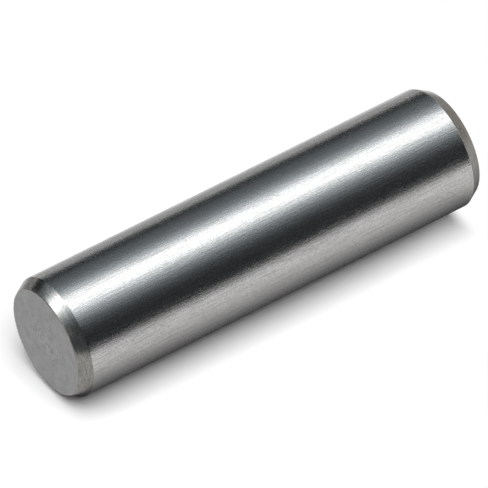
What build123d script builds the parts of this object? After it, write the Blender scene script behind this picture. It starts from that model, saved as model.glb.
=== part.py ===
"""Dowel pin: a hardened steel pin, ground round along its shank, with a lead chamfer on each end.

One solid, turned about +Z. The origin is the centre of the lower end face, so the pin stands on
that face in z = 0 and its axis is the Z axis.
"""

import os
from math import radians, tan

from build123d import *

# ---------------------------------------------------------------- driving dimensions, mm
pin_diameter = 8.0        # over the ground shank
pin_length = 30.0         # over both end faces
chamfer_length = 0.8      # lead chamfer, measured along the axis
chamfer_angle = 30.0      # lead chamfer, degrees from the axis
face_edge_radius = 0.12   # broken edge between an end face and its chamfer
shank_edge_radius = 0.15  # soft edge where a chamfer runs into the shank

# ---------------------------------------------------------------- what follows from them
shank_radius = pin_diameter / 2
face_radius = shank_radius - chamfer_length * tan(radians(chamfer_angle))


def half_section():
    """Half of the pin's lengthwise section, with its four outer corners rounded."""
    outline = Polyline(
        (0, 0, 0),
        (face_radius, 0, 0),
        (shank_radius, 0, chamfer_length),
        (shank_radius, 0, pin_length - chamfer_length),
        (face_radius, 0, pin_length),
        (0, 0, pin_length),
        close=True,
    )
    section = make_face(outline)
    rims = [v for v in section.vertices() if abs(v.X - face_radius) < 1e-6]
    section = fillet(rims, face_edge_radius)
    shoulders = [v for v in section.vertices() if abs(v.X - shank_radius) < 1e-6]
    return fillet(shoulders, shank_edge_radius)


dowel_pin = revolve(half_section(), axis=Axis.Z).solid()
dowel_pin.label = "dowel_pin"

os.makedirs("parts", exist_ok=True)
export_step(dowel_pin, "parts/dowel_pin.step")
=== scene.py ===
from math import cos, hypot, radians, sin, tan

import bpy
from mathutils import Matrix, Vector


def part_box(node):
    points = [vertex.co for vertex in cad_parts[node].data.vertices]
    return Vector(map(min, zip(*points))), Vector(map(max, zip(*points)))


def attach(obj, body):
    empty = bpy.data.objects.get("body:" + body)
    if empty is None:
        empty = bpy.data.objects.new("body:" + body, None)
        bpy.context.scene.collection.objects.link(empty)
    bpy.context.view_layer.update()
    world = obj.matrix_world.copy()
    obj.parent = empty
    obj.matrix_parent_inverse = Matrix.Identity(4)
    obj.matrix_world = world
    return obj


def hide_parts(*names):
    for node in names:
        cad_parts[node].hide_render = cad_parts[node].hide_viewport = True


# A ground steel dowel pin, lit as it lies on a white table. The pin's own frame stands it on its end,
# so the table top is an upright plane that touches the side of the shank, and the camera is turned
# until that plane lies flat. Lengths are in metres, angles in degrees.

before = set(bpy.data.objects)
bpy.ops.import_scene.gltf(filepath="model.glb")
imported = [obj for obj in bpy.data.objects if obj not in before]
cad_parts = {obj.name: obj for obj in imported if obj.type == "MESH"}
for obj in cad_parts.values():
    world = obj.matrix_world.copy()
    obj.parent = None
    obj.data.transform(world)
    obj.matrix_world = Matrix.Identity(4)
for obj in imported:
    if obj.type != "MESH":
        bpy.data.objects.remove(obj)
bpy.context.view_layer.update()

# ------------------------------------------------------------------ the pin, from the frame
PIN_NODE = "dowel_pin"
pin_low, pin_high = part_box(PIN_NODE)
SHANK_RADIUS = pin_high.x
PIN_LENGTH = pin_high.z - pin_low.z
PIN_MIDDLE = Vector((0, 0, PIN_LENGTH / 2))

# ------------------------------------------------------------------ its turned ends
CHAMFER_LENGTH = 0.0008
CHAMFER_ANGLE = 30
FACE_EDGE_RADIUS = 0.00012
SHANK_EDGE_RADIUS = 0.00015
FACE_RADIUS = SHANK_RADIUS - CHAMFER_LENGTH * tan(radians(CHAMFER_ANGLE))
SEGMENTS = 256
EDGE_STEPS = 5
SAME_PLACE = 1e-6         # two points nearer than this are one
FLAT_FACE = 0.999         # a face whose normal lies this much along the pin is an end face
LARGE_FACES_LEAD = 100    # how fully the larger faces set the shading of their corners

# ------------------------------------------------------------------ how the camera sees it
PIN_RISE = 26.45          # of the pin's axis across the picture
PIN_LEAN = 23.8           # of the far end away from the camera
CAMERA_OVER_TABLE = 49    # height of the camera, looking along the pin
CAMERA_DISTANCE = 0.6195
CAMERA_LENS = 745
CAMERA_SENSOR = 36
CLIP_START = 0.01
CLIP_END = 10
AIM_RIGHT = -0.00025      # from the pin's middle to the point aimed at, across the picture
AIM_UP = -0.00014         # and up it

# ------------------------------------------------------------------ the table and the lights
# Heights are above the table. Across is the side nearer the camera, along is up the pin.
TABLE_HALF = 1.0
TABLE_GAP = 0.00001
TABLE_Y = SHANK_RADIUS + TABLE_GAP
TABLE_COLOUR = (0.93, 0.93, 0.93, 1)
WHITE = (1, 1, 1, 1)

# The camera sees the table turn from lit to plain white this far from the pin's axis. Past its ends
# the distance counts these many times over, from a little before the far end, so plain white is
# painted over the pin's own shadow there.
FADE_START = 0.008
FADE_END = 0.015
FADE_PAST_NEAR_END = 1.3
FADE_PAST_FAR_END = 7.0
FADE_BEFORE_FAR_END = 0.0024

# The table's glow in the pin's reflections is painted light with a painted shade, half shaded at
# SHADE_REACH from the line where they touch. The painted shade lightens past the far end, and from
# SHADE_FROM up the pin towards the near end, where the distance counts these many times over. The far
# side's painted light turns dimmer further out.
SHADE_REACH = 0.00595
SHADE_POWER = 3.1
SHADE_FROM = 0.0006
LIGHT_PAST_NEAR_END = 12
LIGHT_PAST_FAR_END = 0.6
# Levels of the painted light that reflections find on the table's near and far sides.
NEAR_SIDE_PAINTED_LIGHT = 1.05
FAR_SIDE_PAINTED_LIGHT = 0.5
FAR_SIDE_START = -0.01
FAR_SIDE_FULL = -0.03
UNDER_PIN = 0.0005        # how soon one side turns into the other under the pin

SOFTBOX_HEIGHT = 0.3
SOFTBOX_ACROSS = -0.002
SOFTBOX_WIDTH = 1.2
SOFTBOX_LENGTH = 0.9
SOFTBOX_CORE = 0.100
SOFTBOX_PEAK = 3.0
SOFTBOX_TAIL = 0.060
SOFTBOX_TAIL_TILT = 0.33
SOFTBOX_TINT = (0.80, 0.92, 1.0, 1)
SOFTBOX_FALL = 1.5        # how sharply the bright strip ends
SOFTBOX_NEAR_START = -0.04
SOFTBOX_NEAR_FULL = -0.12
SOFTBOX_NEAR_BOOST = 1.6
SOFTBOX_NEAR_SHIFT = -0.095

CARD_TINT = (0.030, 0.034, 0.037, 1)
CARD_NEAR_START = -0.025
CARD_NEAR_FULL = -0.06
CARD_NEAR_STRENGTH = 5
NEAR_CARD = {"across": 0.10, "length": 0.6, "low": 0, "high": 39}
FAR_CARD = {"across": -0.12, "length": 0.6, "low": 8, "high": 30}
CARD_ALONG = 0.02
END_CARD_ALONG = 0.12
END_CARD_WIDTH = 0.14
END_CARD_HEIGHT = 0.1
END_CARD_TINT = (0.75, 0.73, 0.70, 1)

KEY_HEIGHT = 0.3
KEY_ACROSS = 0.115
KEY_ALONG = -0.08
KEY_WIDTH = 0.34
KEY_LENGTH = 0.28
KEY_WATTS = 1.58
FLOOR_SUN = 3.25
FLOOR_SUN_WIDTH = 40
FLOOR_SUN_HEIGHT = 10 * PIN_LENGTH
ROOM_FILL = 0.05

CAMERA_AND_MIRRORS = ("camera", "glossy")
CAMERA_ONLY = ("camera",)
MIRRORS_ONLY = ("glossy",)


class Value:
    """What a node puts out. Arithmetic on it adds Math nodes."""

    def __init__(self, shader, socket):
        self.shader = shader
        self.socket = socket

    def math(self, operation, first, second):
        return self.shader.node("Math", {"operation": operation}, {0: first, 1: second})

    def __add__(self, other):
        return self.math("ADD", self, other)

    def __sub__(self, other):
        return self.math("SUBTRACT", self, other)

    def __rsub__(self, other):
        return self.math("SUBTRACT", other, self)

    def __mul__(self, other):
        return self.math("MULTIPLY", self, other)

    def __truediv__(self, other):
        return self.math("DIVIDE", self, other)

    def __rtruediv__(self, other):
        return self.math("DIVIDE", other, self)

    __radd__ = __add__
    __rmul__ = __mul__

    def __pow__(self, other):
        return self.math("POWER", self, other)

    def __abs__(self):
        return self.math("ABSOLUTE", self, 0.0)

    def larger(self, other):
        return self.math("MAXIMUM", self, other)


class Shader:
    """The node tree of one material or of the world."""

    FIRST_COLOUR, SECOND_COLOUR, MIXED_COLOUR = 6, 7, 2

    def __init__(self, owner):
        owner.use_nodes = True
        self.tree = owner.node_tree
        self.tree.nodes.clear()

    def node(self, kind, settings=None, inputs=None, output=0):
        made = self.tree.nodes.new("ShaderNode" + kind)
        for name, setting in (settings or {}).items():
            setattr(made, name, setting)
        for name, value in (inputs or {}).items():
            if isinstance(value, Value):
                self.tree.links.new(value.socket, made.inputs[name])
            else:
                made.inputs[name].default_value = value
        return Value(self, made.outputs[output]) if made.outputs else None

    def place(self):
        """The point on the piece, in metres, as x, y and z."""
        spot = self.node("TexCoord", output="Object")
        return [self.node("SeparateXYZ", inputs={0: spot}, output=axis) for axis in "XYZ"]

    def vector(self, x, y, z):
        return self.node("CombineXYZ", inputs={0: x, 1: y, 2: z})

    def length(self, x, y, z):
        return self.node("VectorMath", {"operation": "LENGTH"}, {0: self.vector(x, y, z)}, output="Value")

    def noise(self, where, detail, roughness):
        return self.node("TexNoise", inputs={
            "Vector": where, "Scale": 1.0, "Detail": detail, "Roughness": roughness})

    def streaks(self, spot, width, length, detail, roughness=0.6):
        """Noise of that width across the pin and that length along it."""
        x, y, z = spot
        return self.noise(self.vector(x / width, y / width, z / length), detail, roughness)

    def blend(self, factor, first, second):
        """One colour turning into another as factor goes from 0 to 1."""
        inputs = {"Factor": factor, self.FIRST_COLOUR: first, self.SECOND_COLOUR: second}
        return self.node("Mix", {"data_type": "RGBA"}, inputs, output=self.MIXED_COLOUR)

    def either(self, choice, first, second):
        """The first surface where choice is 0, the second where it is 1."""
        return self.node("MixShader", inputs={0: choice, 1: first, 2: second})

    def glow(self, colour, strength=1.0):
        return self.node("Emission", inputs={"Color": colour, "Strength": strength})

    def finish(self, surface):
        """Sends the surface to the material's output."""
        self.node("OutputMaterial", inputs={"Surface": surface})

    def ramp(self, value, low, high, at_low=0.0, at_high=1.0):
        """value from low to high, eased into at_low to at_high."""
        return self.node("MapRange", {"interpolation_type": "SMOOTHSTEP"}, {
            "Value": value, "From Min": low, "From Max": high, "To Min": at_low, "To Max": at_high})


def new_material(name):
    material = bpy.data.materials.new(name)
    return material, Shader(material)


# ------------------------------------------------------------------ finishes
NOISE_MIDDLE = 0.5


def steel(shader, marks, contrast, relief, dark, light, roughness):
    """Steel whose marks set its height and its shade. contrast is how far they swing to either side."""
    shade = shader.ramp(marks, NOISE_MIDDLE - contrast, NOISE_MIDDLE + contrast)
    shader.finish(shader.node("BsdfPrincipled", inputs={
        "Base Color": shader.blend(shade, dark, light),
        "Metallic": 1.0,
        "Roughness": roughness,
        "Normal": shader.node("Bump", inputs={"Strength": 1.0, "Distance": relief, "Height": marks}),
    }))


def ground_shank():
    """Bright ground steel: fine scratches along the pin over a finer grain, duller in its hollows."""
    material, shader = new_material("ground_shank")
    spot = shader.place()
    contrast = 0.1
    scratches = shader.streaks(spot, width=0.00009, length=0.0018, detail=3.0)
    grain = shader.streaks(spot, width=0.00006, length=0.00008, detail=1.0)
    marks = scratches * 0.42 + grain * 0.58
    roughness = shader.ramp(
        marks, NOISE_MIDDLE - contrast, NOISE_MIDDLE + contrast, at_low=0.28, at_high=0.16)
    steel(shader, marks, contrast, relief=0.000012, dark=(0.38, 0.375, 0.365, 1),
          light=(0.53, 0.525, 0.52, 1), roughness=roughness)
    return material


def turned_chamfer():
    """Darker, warmer turned steel with fine tool rings round the axis."""
    material, shader = new_material("turned_chamfer")
    spot = shader.place()
    rings = shader.streaks(spot, width=0.0007, length=0.00006, detail=3.0)
    grain = shader.streaks(spot, width=0.00012, length=0.00012, detail=2.0)
    marks = rings * 0.6 + grain * 0.4
    steel(shader, marks, contrast=0.15, relief=0.000009, dark=(0.165, 0.159, 0.15, 1),
          light=(0.285, 0.275, 0.26, 1), roughness=0.22)
    return material


def faced_end():
    """Matt grey faced steel with tool arcs that show round its middle, over a cloud and a grain."""
    material, shader = new_material("faced_end")
    x, y, z = shader.place()
    radius = shader.length(x, y, 0.0)
    arc_width, arc_length, cloud_size, grain_size = 0.00016, 0.0005, 0.0008, 0.0001
    arc_place = shader.vector(radius / arc_width, x / arc_length, y / arc_length)
    arcs = shader.noise(arc_place, detail=3.0, roughness=0.65)
    cloud = shader.noise(shader.vector(x / cloud_size, y / cloud_size, 0.0), detail=4.0, roughness=0.6)
    grain = shader.noise(shader.vector(x / grain_size, y / grain_size, 0.0), detail=2.0, roughness=0.5)
    arc_share = shader.ramp(radius, low=0.0003, high=0.0026, at_low=1.0, at_high=0.15)
    marks = (arcs - NOISE_MIDDLE) * arc_share + NOISE_MIDDLE
    marks = marks + (cloud - NOISE_MIDDLE) * 0.5 + (grain - NOISE_MIDDLE) * 0.25
    steel(shader, marks, contrast=0.2, relief=0.000004, dark=(0.18, 0.18, 0.18, 1),
          light=(0.28, 0.28, 0.278, 1), roughness=0.4)
    return material


# ------------------------------------------------------------------ the pin
def choose(mesh_object, kind, wanted):
    """In edit mode, selects only the faces or edges that wanted() names."""
    bpy.ops.mesh.select_all(action="DESELECT")
    bpy.ops.object.mode_set(mode="OBJECT")
    for item in getattr(mesh_object.data, kind):
        item.select = wanted(item)
    bpy.ops.object.mode_set(mode="EDIT")
    bpy.ops.mesh.select_mode(type="EDGE" if kind == "edges" else "FACE")


def ring_edges(mesh_object, radius, height_from_end):
    """A test for the edges of the two rings of that radius and height from either end."""
    points = mesh_object.data.vertices

    def on_ring(index):
        spot = points[index].co
        from_end = PIN_LENGTH / 2 - abs(spot.z - PIN_MIDDLE.z)
        off_ring = max(abs(hypot(spot.x, spot.y) - radius), abs(from_end - height_from_end))
        return off_ring < SAME_PLACE

    return lambda edge: all(on_ring(index) for index in edge.vertices)


def make_pin():
    """The pin: a round bar, its ends drawn in to chamfers, its four corners rounded."""
    bpy.ops.object.select_all(action="DESELECT")
    bpy.ops.mesh.primitive_cylinder_add(
        vertices=SEGMENTS, radius=SHANK_RADIUS, depth=PIN_LENGTH - 2 * CHAMFER_LENGTH, location=PIN_MIDDLE)
    pin = bpy.context.active_object
    pin.name = pin.data.name = "pin"
    bpy.ops.object.transform_apply(location=True, rotation=True, scale=True)
    bpy.ops.object.mode_set(mode="EDIT")
    for side in (-1, 1):
        choose(pin, "polygons", lambda face, side=side: face.normal.z * side > FLAT_FACE)
        bpy.ops.mesh.extrude_region_move(
            TRANSFORM_OT_translate={"value": (0, 0, side * CHAMFER_LENGTH)})
        shrink = FACE_RADIUS / SHANK_RADIUS
        bpy.ops.transform.resize(value=(shrink, shrink, 1), center_override=PIN_MIDDLE)
    corners = (
        (FACE_RADIUS, 0.0, FACE_EDGE_RADIUS, 90 - CHAMFER_ANGLE),
        (SHANK_RADIUS, CHAMFER_LENGTH, SHANK_EDGE_RADIUS, CHAMFER_ANGLE),
    )
    for ring_radius, height, rounding, turn in corners:
        choose(pin, "edges", ring_edges(pin, ring_radius, height))
        bpy.ops.mesh.bevel(offset=rounding * tan(radians(turn / 2)), segments=EDGE_STEPS, affect="EDGES")
    bpy.ops.object.mode_set(mode="OBJECT")
    bpy.ops.object.shade_smooth()
    smooth = pin.modifiers.new("even shading", "WEIGHTED_NORMAL")
    smooth.weight = LARGE_FACES_LEAD
    bpy.ops.object.modifier_apply(modifier=smooth.name)
    return pin


def paint_pin(pin):
    """Gives the shank, the chamfers and the end faces their own finish."""
    for finish in (ground_shank(), turned_chamfer(), faced_end()):
        pin.data.materials.append(finish)
    shank, chamfer, end_face = range(len(pin.data.materials))
    for face in pin.data.polygons:
        from_end = PIN_LENGTH / 2 - abs(face.center.z - PIN_MIDDLE.z)
        if abs(face.normal.z) > FLAT_FACE:
            face.material_index = end_face
        elif from_end < CHAMFER_LENGTH:
            face.material_index = chamfer
        else:
            face.material_index = shank


# ------------------------------------------------------------------ the stage
def board(name, width, height, location, turn, material, seen_by):
    """A flat board of the stage, facing along its turned +Z, that only the rays in seen_by find."""
    bpy.ops.object.select_all(action="DESELECT")
    bpy.ops.mesh.primitive_plane_add(size=1, location=location, rotation=[radians(a) for a in turn])
    made = bpy.context.active_object
    made.name = name
    made.scale = (width, height, 1)
    bpy.ops.object.transform_apply(location=True, rotation=True, scale=True)
    made.data.materials.append(material)
    made.visible_camera = "camera" in seen_by
    made.visible_glossy = "glossy" in seen_by
    made.visible_transmission = "glossy" in seen_by
    made.visible_diffuse = False
    made.visible_shadow = False


def painted_table_shade(shader, x, z):
    """How brightly the pin reflects the table, as painted light: a painted shade beside the line where
    they touch, but never under the far side's set level on the far side."""
    before_shade = (SHADE_FROM - z).larger(0.0)
    past_far_end = (z - PIN_LENGTH).larger(0.0)
    past_ends = before_shade * LIGHT_PAST_NEAR_END + past_far_end * LIGHT_PAST_FAR_END
    beside = abs(x) + past_ends + TABLE_GAP
    out_of_shade = 1 / (1 + (SHADE_REACH / beside) ** SHADE_POWER)
    painted_side_light = shader.ramp(x, FAR_SIDE_FULL, FAR_SIDE_START, FAR_SIDE_PAINTED_LIGHT, NEAR_SIDE_PAINTED_LIGHT)
    far_side = shader.ramp(x, -UNDER_PIN, UNDER_PIN, FAR_SIDE_PAINTED_LIGHT, 0.0)
    return (out_of_shade * painted_side_light).larger(far_side)


def away_from_pin(shader, x, y, z):
    """0 close to the pin, 1 away from it."""
    past_near_end = (0 - z).larger(0.0)
    # Starting before the far end, this paints plain white over the pin's shadow there.
    past_far_end = (z - PIN_LENGTH + FADE_BEFORE_FAR_END).larger(0.0)
    past_ends = past_near_end * FADE_PAST_NEAR_END + past_far_end * FADE_PAST_FAR_END
    return shader.ramp(shader.length(x, y, past_ends), FADE_START, FADE_END)


def white_board(name):
    """Matt white to the camera, and plain white away from the pin. Reflections find a glow instead, with
    a painted shade beside the pin. From behind there is nothing."""
    material, shader = new_material(name)
    x, y, z = shader.place()
    camera_ray = shader.node("LightPath", output="Is Camera Ray")
    glossy_ray = shader.node("LightPath", output="Is Glossy Ray")
    back = shader.node("NewGeometry", output="Backfacing")
    plain = away_from_pin(shader, x, y, z) * camera_ray
    lit = shader.node("BsdfDiffuse", inputs={"Color": TABLE_COLOUR})
    direct = shader.either(plain, lit, shader.glow(WHITE))
    # Reflections see a white glow whose strength is painted light and painted shade, not the table's
    # lighting.
    painted_reflected_table = shader.glow(WHITE, painted_table_shade(shader, x, z))
    front = shader.either(glossy_ray, direct, painted_reflected_table)
    shader.finish(shader.either(back, front, shader.node("BsdfTransparent")))
    return material


def softbox_glow():
    """A bright white strip along its middle that fades to a dim bluer glow, dimmer on the near side.
    Past the near end the strip is stronger and lies further over, where the chamfer reflects it."""
    material, shader = new_material("softbox_glow")
    x, y, z = shader.place()
    near_end = shader.ramp(z, SOFTBOX_NEAR_FULL, SOFTBOX_NEAR_START, 1.0, 0.0)
    off = (x - SOFTBOX_ACROSS - near_end * SOFTBOX_NEAR_SHIFT) / SOFTBOX_CORE
    core = 1 / (1 + off * off) ** SOFTBOX_FALL
    tail = (SOFTBOX_TAIL * (1 - off * SOFTBOX_TAIL_TILT)).larger(0.0)
    strength = (SOFTBOX_PEAK * core + tail) * (1 + near_end * SOFTBOX_NEAR_BOOST)
    shader.finish(shader.glow(shader.blend(core, SOFTBOX_TINT, WHITE), strength))
    return material


def card_glow(name, tint, near_strength=1.0):
    """The glow of a card, near_strength times as strong past the pin's near end."""
    material, shader = new_material(name)
    x, y, z = shader.place()
    strength = shader.ramp(z, CARD_NEAR_FULL, CARD_NEAR_START, near_strength, 1.0)
    shader.finish(shader.glow(tint, strength))
    return material


def side_card(name, card, material):
    """A dark card beside the pin, for its reflections only. Its low and high edges are angles."""
    low, high = (abs(card["across"]) * tan(radians(card[edge])) for edge in ("low", "high"))
    place = (card["across"], TABLE_Y - (low + high) / 2, CARD_ALONG)
    board(name, card["length"], high - low, place, (0, 90, 0), material, MIRRORS_ONLY)


def end_card():
    """A grey card past the far end, for the far chamfer's reflections."""
    place = (0, TABLE_Y - END_CARD_HEIGHT / 2, END_CARD_ALONG)
    grey = card_glow("grey_card", END_CARD_TINT)
    board("end_card", END_CARD_WIDTH, END_CARD_HEIGHT, place, (0, 0, 0), grey, MIRRORS_ONLY)


def softbox():
    """The softbox over the table, for the pin's reflections only."""
    place = (SOFTBOX_ACROSS, TABLE_Y - SOFTBOX_HEIGHT, PIN_MIDDLE.z)
    board("softbox", SOFTBOX_WIDTH, SOFTBOX_LENGTH, place, (-90, 0, 0), softbox_glow(), MIRRORS_ONLY)


def set_stage():
    """The table, the floor under the standing pin, the softbox and the three cards."""
    side = 2 * TABLE_HALF
    table_white, ground_white = white_board("white_table"), white_board("white_ground")
    board("table", side, side, (0, TABLE_Y, 0), (90, 0, 0), table_white, CAMERA_AND_MIRRORS)
    board("ground", side, side, (0, 0, -TABLE_GAP), (0, 0, 0), ground_white, CAMERA_ONLY)
    softbox()
    dark = card_glow("dark_card", CARD_TINT, CARD_NEAR_STRENGTH)
    side_card("near_card", NEAR_CARD, dark)
    side_card("far_card", FAR_CARD, dark)
    end_card()


def add_lamp(name, kind, place, turn, **settings):
    """A lamp that shows in no reflection. Unturned, it shines down."""
    lamp = bpy.data.lights.new(name, kind)
    for setting, value in settings.items():
        setattr(lamp, setting, value)
    lamp_object = bpy.data.objects.new(name, lamp)
    bpy.context.scene.collection.objects.link(lamp_object)
    lamp_object.location = place
    lamp_object.rotation_euler = [radians(a) for a in turn]
    lamp_object.visible_glossy = False


def set_lamps():
    """A broad key lamp over the table, and a soft one over the floor that the pin stands on."""
    add_lamp("key", "AREA", (KEY_ACROSS, TABLE_Y - KEY_HEIGHT, PIN_MIDDLE.z + KEY_ALONG), (90, 0, 0),
             shape="RECTANGLE", size=KEY_WIDTH, size_y=KEY_LENGTH, energy=KEY_WATTS)
    add_lamp("over_floor", "SUN", (0, 0, FLOOR_SUN_HEIGHT), (0, 0, 0),
             energy=FLOOR_SUN, angle=radians(FLOOR_SUN_WIDTH))


def set_world():
    """White where the camera or a reflection sees it, a dim fill for everything else."""
    world = bpy.data.worlds.new("studio")
    bpy.context.scene.world = world
    shader = Shader(world)
    seen = shader.node("LightPath", output="Is Camera Ray")
    for kind in ("Is Glossy Ray", "Is Transmission Ray"):
        seen = seen.larger(shader.node("LightPath", output=kind))
    strength = ROOM_FILL + seen * (1 - ROOM_FILL)
    room = shader.node("Background", inputs={"Color": WHITE, "Strength": strength})
    shader.node("OutputWorld", inputs={"Surface": room})


def set_camera():
    """The camera, turned so that the pin lies across the picture on the table."""
    lean, over, rise = (radians(a) for a in (PIN_LEAN, CAMERA_OVER_TABLE, PIN_RISE))
    look = Vector((-cos(lean) * cos(over), cos(lean) * sin(over), sin(lean)))
    along = Vector((0, 0, 1))
    along = (along - along.dot(look) * look).normalized()
    across = look.cross(along)
    right = cos(rise) * along + sin(rise) * across
    up = sin(rise) * along - cos(rise) * across
    data = bpy.data.cameras.new("camera")
    data.lens = CAMERA_LENS
    data.sensor_width = CAMERA_SENSOR
    data.clip_start = CLIP_START
    data.clip_end = CLIP_END
    camera = bpy.data.objects.new("camera", data)
    bpy.context.scene.collection.objects.link(camera)
    spot = PIN_MIDDLE + AIM_RIGHT * right + AIM_UP * up - CAMERA_DISTANCE * look
    camera.matrix_world = Matrix.Translation(spot) @ Matrix((right, up, -look)).transposed().to_4x4()
    bpy.context.scene.camera = camera


pin = make_pin()
paint_pin(pin)
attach(pin, "root")
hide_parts(PIN_NODE)
set_stage()
set_lamps()
set_world()
set_camera()
bpy.context.scene.view_settings.view_transform = "Standard"
